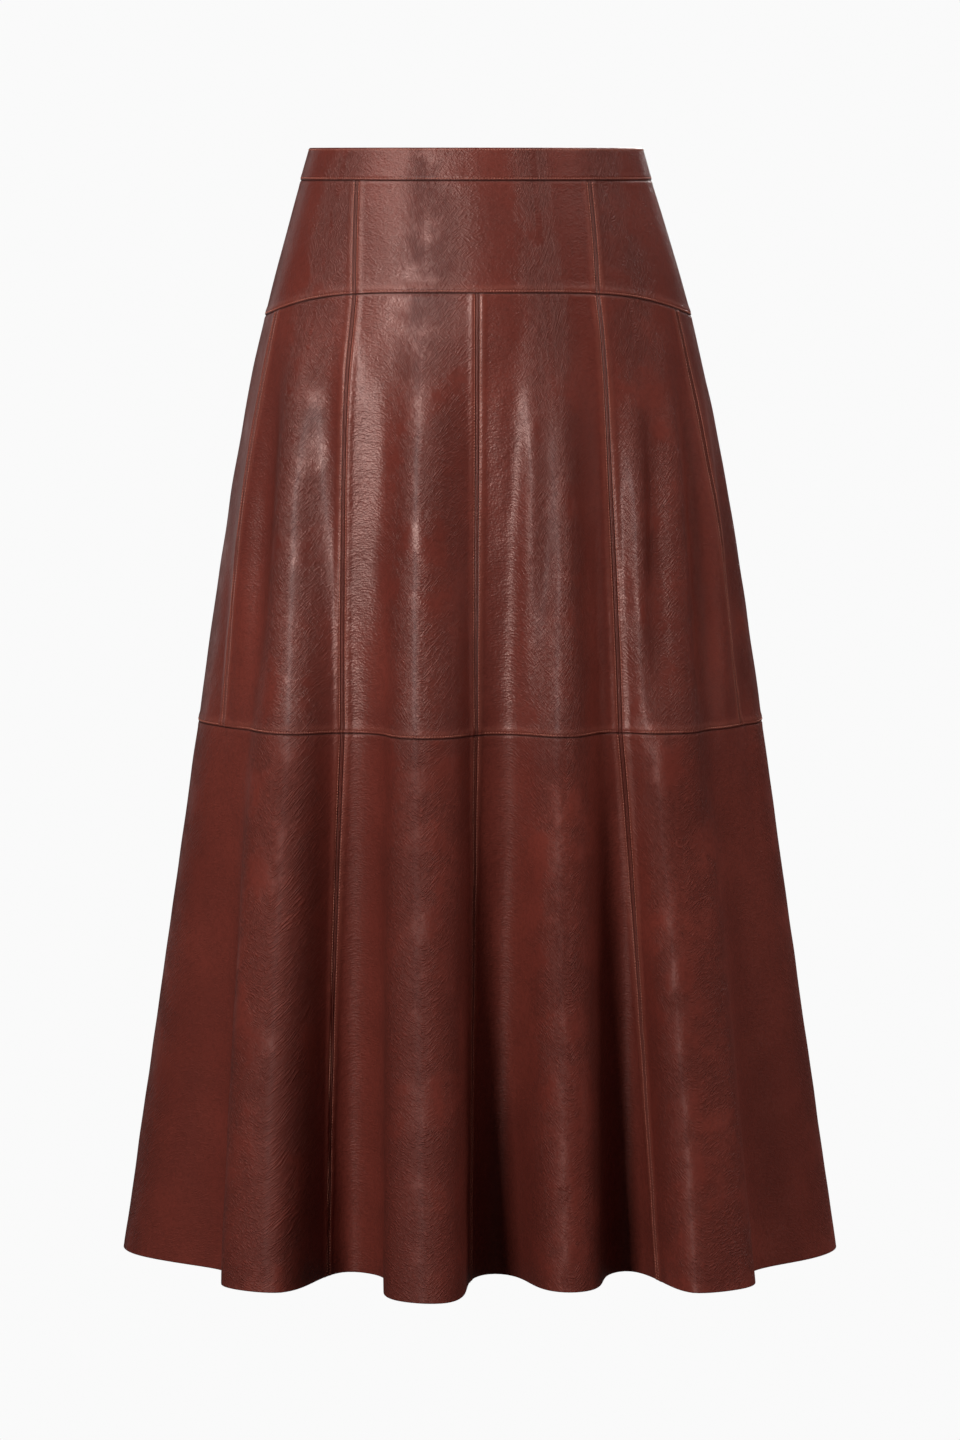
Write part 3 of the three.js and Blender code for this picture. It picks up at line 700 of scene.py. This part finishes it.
# A stitch's points round it and how much its lean and its length vary, and how far the rows on the
# seams stop short of a tier's edges.
THREAD_SIDES = 5
THREAD_DRIFT = 0.05
ROW_END = 1.2
HEM_ROW_END = 0.8
ROUND_SAMPLES = 3000
ZIP_CLEAR = 0.06


def make_stitches(name, rows, length, width, material, rise=0.12, sink=0.2):
    """Short rounded threads, one at each point of the rows: three rings of five points along a
    thread, the middle one full and raised, the end ones narrow and sunk into the cloth."""
    middle, run, up = (np.concatenate(parts) for parts in zip(*rows))
    draws = np.random.default_rng(len(middle))
    lean = draws.normal(0, THREAD_DRIFT, (len(middle), 1))
    side = np.cross(up, run)
    run, side = run + side * lean, side - run * lean
    size = draws.normal(1, THREAD_DRIFT, (len(middle), 1))
    k = np.arange(THREAD_SIDES)
    angles = 2 * np.pi * k / THREAD_SIDES
    rings = []
    for along, radius, height in ((-0.5, 0.5, -sink), (0, 1, rise), (0.5, 0.5, -sink)):
        centre = middle + run * along * length * size + up * height
        spread = side[:, None] * np.cos(angles)[:, None] + up[:, None] * np.sin(angles)[:, None]
        rings.append(centre[:, None] + spread * radius * width / 2)
    points = np.stack(rings, axis=1).reshape(-1, 3)
    base = THREAD_SIDES * len(rings) * np.arange(len(middle))[:, None]
    ahead = (k + 1) % THREAD_SIDES
    band = np.stack([k, k + THREAD_SIDES, ahead + THREAD_SIDES, ahead], axis=-1)
    bands = np.concatenate([band, band + THREAD_SIDES])
    sides = (base[:, :, None] + bands[None]).reshape(-1, 4)
    caps = np.concatenate([base + k, base + THREAD_SIDES * len(rings) - 1 - k])
    made = make_mesh(name, points, [sides, caps])
    made.data.materials.append(material)
    return made


def line_down(low, high):
    """Drops about 2 mm apart."""
    return np.linspace(low, high, max(8, int((high - low) / 2)))


def rows_down(tier):
    """Both rows of stitches beside each of a tier's seams."""
    top_level, foot_level, proud, _ = TIERS[tier]
    names = sorted({seam for _, owner, *ends in PIECES if owner == tier for seam in ends})
    rows = []
    for name in names:
        levels = SEAMS[name]
        head, foot = tier_edges(tier, np.array([levels[top_level], levels[foot_level]], dtype=float))
        drop = line_down(head[0] + ROW_END, foot[1] - (HEM_ROW_END if tier == "lower" else ROW_END))
        share = (drop - head[0]) / (foot[1] - head[0])
        place = mix(levels[top_level], levels[foot_level], share)
        scale = cloth_scale(place, drop)
        for side in (-1, 1):
            away = np.full_like(drop, STITCH_INSET)
            out = seam_relief(name, side, away, drop) + hide_waves(place, drop)
            inset = side * (STITCH_INSET + seam_gap(name, drop)) / scale
            rows.append(stitch_row(place + inset, drop, out + proud))
    return rows


def row_round(tier, at_foot=True, inset=ROW_INSET):
    """The row of stitches round the skirt just inside a tier's foot or its top."""
    begin = SEAMS["back centre"]["yoke"]
    place = np.linspace(begin, begin + FOLDS, ROUND_SAMPLES)
    place = place[(place > begin + ZIP_CLEAR) & (place < begin + FOLDS - ZIP_CLEAR)]
    head, foot = tier_edges(tier, place)
    drop = foot - inset if at_foot else head + inset
    away = np.full_like(place, inset)
    relief = foot_relief(tier, away) if at_foot else top_relief(tier, away)
    _, _, proud, _ = TIERS[tier]
    return stitch_row(place, drop, proud + relief + hide_waves(place, drop))


# The zip's tapes: how deep they lie, thickness, width, the space between them, their top and how far
# they run past the zip's end, their grid of points, their ribs' height and lengths, and the cord's
# bell. The coil: its top, its pitch, and its loops' length, width and distance from the middle.
TAPE_INSET = 1.8
TAPE_THICKNESS = 0.8
TAPE_WIDTH = 12
TAPES_APART = 2.2
TAPE_TOP = 3
TAPE_PAST = 8
TAPE_COLUMNS = 40
TAPE_ROWS = 320
RIB_HEIGHT = 0.05
RIB_DOWN = 1.3
RIB_ACROSS = 1.2
TAPE_CORD = (0.25, 1.6, 0.5)
COIL_TOP = 18
COIL_PITCH = 1.5
COIL_LENGTH = 2.1
COIL_WIDTH = 0.7
COIL_ASIDE = 0.35


def zip_middle():
    """The zip's place, and how many millimetres of cloth one unit of place is worth there."""
    centre = SEAMS["back centre"]["band"]
    return centre, cloth_scale(np.array([centre]), np.array([float(BAND_HEIGHT)]))[0]


def make_tape(name, side, woven):
    """One zip tape: a thin ribbed strip inside the centre back, its threads raised as a fine wave
    across it and a cord along its inner edge."""
    centre, scale = zip_middle()
    across = np.linspace(TAPES_APART / 2, TAPES_APART / 2 + TAPE_WIDTH, TAPE_COLUMNS)
    if side < 0:
        across = across[::-1]
    down = np.linspace(TAPE_TOP + 0.2, ZIP_DROP + TAPE_PAST - 0.2, TAPE_ROWS)
    place, drop = np.broadcast_arrays(centre + side * across / scale, down[:, None])
    inner_edge = across - TAPES_APART / 2
    rib = RIB_HEIGHT * np.sin(2 * np.pi * down / RIB_DOWN)[:, None]
    rib = rib * np.sin(2 * np.pi * inner_edge / RIB_ACROSS)
    fray = 0.1 * np.sin(down / 2.1)[:, None] * (inner_edge > TAPE_WIDTH - 0.5)
    outer = surface(place, drop, -TAPE_INSET - 0.15 + rib)
    inward = 0.1 - rib - bell(inner_edge, TAPE_CORD) + fray
    inner = surface(place, drop, -TAPE_INSET - TAPE_THICKNESS + inward)
    piece = make_wall(f"{name}_weave", outer, inner, (woven, woven))
    add_uv(piece, "cloth", np.broadcast_to(across, place.shape), drop)
    return piece


def make_coil(material):
    """The zip's closed coil below the slider: two rows of short round loops that cross the gap
    between the tapes in turn."""
    centre, scale = zip_middle()
    rows = []
    for side in (-1, 1):
        drop = np.arange(COIL_TOP + (COIL_PITCH / 2 if side > 0 else 0), ZIP_DROP + 4, COIL_PITCH)
        place = np.full_like(drop, centre + side * COIL_ASIDE / scale)
        middle = surface(place, drop, -TAPE_INSET - TAPE_THICKNESS / 2)
        across, down = directions(place, drop)
        rows.append((middle, unit(across), unit(np.cross(down, across))))
    return make_stitches("zip_coil", rows, COIL_LENGTH, COIL_WIDTH, material, rise=0.15, sink=0.15)


class Socket:
    """A number or colour in a material's nodes. Its operators add Math nodes."""

    def __init__(self, nodes, socket):
        self.nodes = nodes
        self.socket = socket

    def math(self, operation, *values):
        """What a Math node makes of these values."""
        return self.nodes.add("ShaderNodeMath", {"operation": operation}, values)

    def __add__(self, other):
        return self.math("ADD", self, other)

    def __sub__(self, other):
        return self.math("SUBTRACT", self, other)

    def __rsub__(self, other):
        return self.math("SUBTRACT", other, self)

    def __mul__(self, other):
        return self.math("MULTIPLY", self, other)

    __radd__, __rmul__ = __add__, __mul__

    def __abs__(self):
        return self.math("ABSOLUTE", self)

    def wave(self):
        """The sine of the number."""
        return self.math("SINE", self)

    def zigzag(self):
        """Up from 0 to 1 and down again as the number grows."""
        return self.math("PINGPONG", self, 1.0)

    def between(self, low, high):
        """0 at low and 1 at high, with a smooth step between."""
        settings = {"interpolation_type": "SMOOTHSTEP"}
        return self.nodes.add("ShaderNodeMapRange", settings, [self, low, high, 0, 1])


class Finish:
    """The nodes of one material."""

    def __init__(self, name):
        self.material = bpy.data.materials.new(name)
        self.material.use_nodes = True
        self.tree = self.material.node_tree
        self.tree.nodes.clear()

    def add(self, kind, settings=None, values=(), output=0):
        """A node of a type, with its settings first and then the values or links of its sockets,
        which are given in order or by name. Gives one of its outputs."""
        node = self.tree.nodes.new(kind)
        for key, value in (settings or {}).items():
            setattr(node, key, value)
        pairs = values.items() if isinstance(values, dict) else enumerate(values)
        for key, value in pairs:
            if isinstance(value, Socket):
                self.tree.links.new(value.socket, node.inputs[key])
            else:
                node.inputs[key].default_value = value
        return Socket(self, node.outputs[output])

    def at(self, uv=None):
        """Object coordinates, or a UV map of the piece."""
        if uv:
            return self.add("ShaderNodeUVMap", {"uv_map": uv})
        return self.add("ShaderNodeTexCoord", output="Object")

    def value(self, name):
        """One of the piece's own values, by its name."""
        return self.add("ShaderNodeAttribute", {"attribute_name": name}, output="Fac")

    def scaled(self, vector, scale):
        """A vector times another."""
        return self.add("ShaderNodeVectorMath", {"operation": "MULTIPLY"}, [vector, scale])

    def parts(self, vector):
        """A vector's three numbers."""
        return [self.add("ShaderNodeSeparateXYZ", None, [vector], output=i) for i in range(3)]

    def joined(self, x, y, z=0.0):
        """A vector from three numbers."""
        return self.add("ShaderNodeCombineXYZ", None, [x, y, z])

    def noise(self, vector, scale, detail=2.0, roughness=0.5):
        """Soft noise between 0 and 1."""
        values = {"Vector": vector, "Scale": scale, "Detail": detail, "Roughness": roughness}
        return self.add("ShaderNodeTexNoise", None, values)

    def cells(self, vector, scale):
        """The distance to the nearest of scattered points."""
        return self.add("ShaderNodeTexVoronoi", None, {"Vector": vector, "Scale": scale})

    def blend(self, share, first, second):
        """A mix of two colours."""
        node = self.add("ShaderNodeMix", {"data_type": "RGBA"}, {0: share}, output=2)
        for index, colour in ((6, first), (7, second)):
            socket = node.socket.node.inputs[index]
            if isinstance(colour, Socket):
                self.tree.links.new(colour.socket, socket)
            else:
                socket.default_value = (*colour, 1)
        return node

    def relief(self, height_mm):
        """A bump whose height is in millimetres."""
        values = {"Strength": 1.0, "Distance": METRES, "Height": height_mm}
        return self.add("ShaderNodeBump", None, values)

    def shader(self, **sockets):
        """A shader, with its sockets by name, an underline for a space."""
        values = {name.replace("_", " "): value for name, value in sockets.items()}
        return self.add("ShaderNodeBsdfPrincipled", None, values)

    def shown(self, shader):
        """The material, showing a shader."""
        output = self.tree.nodes.new("ShaderNodeOutputMaterial")
        self.tree.links.new(shader.socket, output.inputs["Surface"])
        return self.material

    def surface(self, **sockets):
        """The material, showing one shader with these sockets."""
        return self.shown(self.shader(**sockets))


def ridged(noise):
    """Sharp lines where a noise passes its middle."""
    return 1 - abs(noise * 2 - 1) * 2.2


# The leather's dye: its two main tones, its darker patches and specks and its rubbed ridges. Then
# painted shade: darker wrinkle creases, and dark seam joints with painted shade in the grooves
# beside them and under each tier's tucked top. The tint of its gloss, and the heights between which
# the gloss is lost.
DYE = (0.121, 0.0216, 0.0148)
BRIGHT_DYE = (0.156, 0.0288, 0.0195)
PATCH_DYE = (0.1, 0.0185, 0.0135)
SPECK_DYE = (0.075, 0.0135, 0.0092)
RUBBED_DYE = (0.24, 0.062, 0.042)
WRINKLE_SHADE_COLOUR = (0.06, 0.0115, 0.008)
JOINT_AND_GROOVE_SHADE_COLOUR = (0.02, 0.004, 0.003)
GLOSS_TINT = (1.0, 0.68, 0.6, 1)
DULL_BELOW = (-0.46, -0.4)


def leather_finish():
    """Dyed nappa, glazed above and dull on the lower tier: fine grain cells, short wrinkles that run
    down to each crest from both sides with painted shade in their creases, mottled dye, dark seam
    joints with painted shade in the grooves beside them and under tucked edges, and paler rubbed
    ridges."""
    f = Finish("glazed_nappa")
    place = f.at()
    cloth_map = f.at("cloth")
    across, down, _ = f.parts(cloth_map)
    aside, _, _ = f.parts(f.at("folds"))
    broad = f.noise(place, 9, 2)
    patch = f.noise(place, 26, 3, 0.6)
    fine = f.noise(place, 140, 3, 0.6)
    grain = f.cells(place, 620)
    pores = f.noise(place, 1100, 2, 0.6)
    speck = f.noise(place, 330, 3, 0.7)
    sway = f.noise(cloth_map, 34, 2) - 0.5
    lean = 0.75 + 0.9 * f.noise(cloth_map, 11, 1)
    folded = aside * lean + sway * 0.01
    chevron = f.noise(f.joined(across * 150, (down - folded) * 430), 1, 2, 0.5)
    counter = f.noise(f.joined(across * 130, (down + folded * 0.8) * 400), 1, 2, 0.5)
    near_crest = 1 - aside.between(0.016, 0.042)
    strength = patch.between(0.3, 0.56) * (0.3 + 0.7 * near_crest)
    low = 1 - down.between(*DULL_BELOW)
    wrinkles = ridged(chevron).between(0, 1) * (0.6 + 0.4 * low)
    wrinkles = (wrinkles + ridged(counter).between(0, 1) * (0.45 - 0.25 * low)) * strength
    height = 0.12 * grain + 0.04 * pores - 0.5 * wrinkles + 0.35 * fine + 0.8 * patch
    joint_and_groove_shade, worn = f.value("joint_and_groove_shade"), f.value("worn")
    dye = f.blend(broad.between(0.35, 0.68), DYE, BRIGHT_DYE)
    layers = [
        (patch.between(0.52, 0.75) * 0.35, PATCH_DYE),
        (speck.between(0.42, 0.68) * 0.4, SPECK_DYE),
        (worn * 0.3, RUBBED_DYE),
        # Painted shade: darker colour in the wrinkles' creases.
        (wrinkles * 0.45, WRINKLE_SHADE_COLOUR),
        # Painted shade: a dark joint at each seam, with darker colour in its grooves and under tucked
        # edges.
        (joint_and_groove_shade * 0.85, JOINT_AND_GROOVE_SHADE_COLOUR),
    ]
    for share, colour in layers:
        dye = f.blend(share, dye, colour)
    rough = 0.28 + 0.08 * patch + 0.05 * fine + 0.12 * low + 0.1 * wrinkles + 0.3 * joint_and_groove_shade
    hide = {"Base_Color": dye, "Roughness": rough, "Specular_Tint": GLOSS_TINT, "Normal": f.relief(height)}
    glazed = f.shader(Specular_IOR_Level=0.58, Coat_Weight=0.08, Coat_Roughness=0.3, **hide)
    dull = f.shader(Specular_IOR_Level=0.2, **hide)
    return f.shown(f.add("ShaderNodeMixShader", None, [0.85 * low, glazed, dull]))


def flesh_finish():
    """The leather's inner side and cut edges: short suede nap in patches."""
    f = Finish("suede_side")
    place = f.at()
    nap, patch = f.noise(place, 900, 3, 0.7), f.noise(place, 30, 3)
    colour = f.blend(patch.between(0.35, 0.65), (0.13, 0.042, 0.028), (0.19, 0.068, 0.046))
    height = 0.06 * nap + 0.08 * patch
    return f.surface(
        Base_Color=colour,
        Roughness=0.86 + 0.1 * nap,
        Specular_IOR_Level=0.25,
        Sheen_Weight=0.25,
        Sheen_Roughness=0.5,
        Normal=f.relief(height),
    )


def thread_finish():
    """Twisted sewing thread: fine slanting plies and a soft gloss."""
    f = Finish("sewing_thread")
    place = f.at()
    ply, tone = f.noise(place, 2600, 2, 0.5), f.noise(place, 60, 2)
    colour = f.blend(tone.between(0.35, 0.65), (0.34, 0.1, 0.062), (0.44, 0.145, 0.095))
    return f.surface(
        Base_Color=colour,
        Roughness=0.45 + 0.2 * ply,
        Specular_IOR_Level=0.45,
        Normal=f.relief(0.05 * ply),
    )


def tape_finish():
    """Woven zip tape: a herringbone of fine ribs."""
    f = Finish("woven_tape")
    across, down, _ = f.parts(f.at("cloth"))
    ribs = (down * 1500 + (across * 420).zigzag() * 2.4).wave()
    fibre = f.noise(f.at(), 1800, 2, 0.6)
    colour = f.blend(0.5 + 0.5 * ribs, (0.04, 0.009, 0.007), (0.075, 0.02, 0.015))
    return f.surface(
        Base_Color=colour,
        Roughness=0.8 + 0.1 * fibre,
        Specular_IOR_Level=0.3,
        Normal=f.relief(0.05 * ribs + 0.03 * fibre),
    )


def coil_finish():
    """Smooth nylon with a faint fleck."""
    f = Finish("nylon_coil")
    fleck = f.noise(f.at(), 700, 2)
    colour = f.blend(fleck, (0.06, 0.014, 0.011), (0.09, 0.024, 0.018))
    return f.surface(Base_Color=colour, Roughness=0.3 + 0.15 * fleck, Normal=f.relief(0.02 * fleck))


def metal_finish():
    """Lacquered zip metal, with fine brushing and small rubbed spots."""
    f = Finish("lacquered_metal")
    place = f.at()
    brushed = f.noise(f.scaled(place, (4000, 4000, 260)), 1, 2, 0.6)
    rubbed = f.noise(place, 320, 3, 0.6).between(0.6, 0.72)
    colour = f.blend(rubbed * 0.6, (0.16, 0.052, 0.036), (0.42, 0.3, 0.26))
    return f.surface(
        Base_Color=colour,
        Metallic=0.85,
        Roughness=0.26 + 0.14 * brushed,
        Normal=f.relief(0.012 * brushed),
    )


LEATHER_FINISH = leather_finish()
FLESH_FINISH = flesh_finish()
THREAD_FINISH = thread_finish()
TAPE_FINISH = tape_finish()
COIL_FINISH = coil_finish()
METAL_FINISH = metal_finish()

# The piece that each tier hangs from. A piece's area is at most its flat size's, which is rounded.
HANGS_FROM = {"yoke": "waistband", "middle": "yoke_front_centre", "lower": "middle_front_inner_left"}

for node, tier, start, end in PIECES:
    piece, (wide, long, area) = make_piece(node, tier, start, end, LEATHER_FINISH, FLESH_FINISH)
    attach(piece, "skirt")
    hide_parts(node)
    held_by = [f"{HANGS_FROM[tier]}_leather"] if tier in HANGS_FROM else []

sewing = {
    "waistband_stitches": [row_round("band"), row_round("band", at_foot=False)],
    "yoke_stitches": rows_down("yoke") + [row_round("yoke")],
    "middle_tier_stitches": rows_down("middle") + [row_round("middle")],
    "lower_tier_stitches": rows_down("lower"),
}
for name, rows in sewing.items():
    stitches = make_stitches(name, rows, STITCH_LENGTH, STITCH_WIDTH, THREAD_FINISH)
    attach(stitches, "skirt")

for name, side in (("zip_tape_right", -1), ("zip_tape_left", 1)):
    tape = make_tape(name, side, TAPE_FINISH)
    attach(tape, "skirt")
    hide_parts(name)

coil = make_coil(COIL_FINISH)
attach(coil, "skirt")

for name in ("zip_slider", "zip_pull"):
    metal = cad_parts[name]
    metal.data.materials.clear()
    metal.data.materials.append(METAL_FINISH)

# The camera's place, its tilt down in degrees and its lens in millimetres, over the 36 mm long side,
# then the floor's depth and size in metres.
CAMERA_AT = (0.003, -4.5, 0)
CAMERA_PITCH = 5.307
CAMERA_LENS = 149.65
FLOOR_DROP = 1.05
FLOOR_SIZE = 30

view = bpy.data.cameras.new("studio_camera")
view.lens = CAMERA_LENS
camera = bpy.data.objects.new("studio_camera", view)
camera.location = CAMERA_AT
camera.rotation_euler = (math.radians(90 - CAMERA_PITCH), 0, 0)
bpy.context.scene.collection.objects.link(camera)
bpy.context.scene.camera = camera


def softbox(name, azimuth, elevation, distance, wide, tall, watts, glossy=True, aim=(0, 0, -0.35)):
    """A large soft light at an azimuth, 0 in front and 90 on the right, turned to its aim. A light
    that isn't glossy only fills shadows."""
    data = bpy.data.lights.new(name, "AREA")
    data.shape = "RECTANGLE"
    data.size, data.size_y = wide, tall
    data.energy = watts
    made = bpy.data.objects.new(name, data)
    turn, rise = math.radians(azimuth), math.radians(elevation)
    away = np.array([math.sin(turn) * math.cos(rise), -math.cos(turn) * math.cos(rise), math.sin(rise)])
    made.location = np.array(aim) + away * distance
    made.rotation_euler = (math.radians(90) - rise, 0, turn)
    made.visible_camera = False
    made.visible_glossy = glossy
    bpy.context.scene.collection.objects.link(made)


softbox("front_softbox", -26, 11, 4.2, 0.8, 0.8, 90)
softbox("high_left_softbox", -48, 46, 2.5, 1.9, 1.6, 42)
softbox("high_right_softbox", 62, 46, 3.6, 2.6, 2.2, 24)
softbox("right_fill", 80, 0, 3.4, 1.8, 1.2, 48, glossy=False, aim=(0.1, 0, -0.6))
softbox("back_softbox", 165, 20, 4.2, 1.1, 0.9, 55)
softbox("high_back_softbox", 150, 48, 3.6, 2.6, 2.2, 90)
softbox("left_rim", -146, 6, 4.0, 1.2, 2.2, 4)

# The colour that the camera sees of the room, and the tint and strength of the room's own light.
ROOM_WHITE = (0.955, 0.955, 0.955, 1)
ROOM_TINT = (1, 0.99, 0.98, 1)
ROOM_GLOW = 0.05
world = bpy.data.worlds.new("studio")
bpy.context.scene.world = world
world.use_nodes = True
room = world.node_tree
shade = room.nodes["Background"]
shade.inputs["Color"].default_value = ROOM_TINT
shade.inputs["Strength"].default_value = ROOM_GLOW
seen = room.nodes.new("ShaderNodeBackground")
seen.inputs["Color"].default_value = ROOM_WHITE
chosen = room.nodes.new("ShaderNodeMixShader")
path = room.nodes.new("ShaderNodeLightPath")
room.links.new(path.outputs["Is Camera Ray"], chosen.inputs["Fac"])
room.links.new(shade.outputs[0], chosen.inputs[1])
room.links.new(seen.outputs[0], chosen.inputs[2])
room.links.new(chosen.outputs[0], room.nodes["World Output"].inputs["Surface"])
bpy.context.scene.view_settings.view_transform = "Standard"


def make_floor():
    """A plain pale floor: a level square that glows evenly, so that it meets the room unseen."""
    half = FLOOR_SIZE / METRES / 2
    ends = ((-half, -half), (half, -half), (half, half), (-half, half))
    corners = np.array([(x, y, -FLOOR_DROP / METRES) for x, y in ends])
    floor = make_mesh("studio_floor", corners, [np.array([[0, 1, 2, 3]])])
    f = Finish("pale_floor")
    f.surface(Base_Color=(0, 0, 0, 1), Specular_IOR_Level=0, Emission_Color=ROOM_WHITE, Emission_Strength=1)
    floor.data.materials.append(f.material)
    floor.visible_diffuse = False
    floor.visible_glossy = False
    return floor


make_floor()
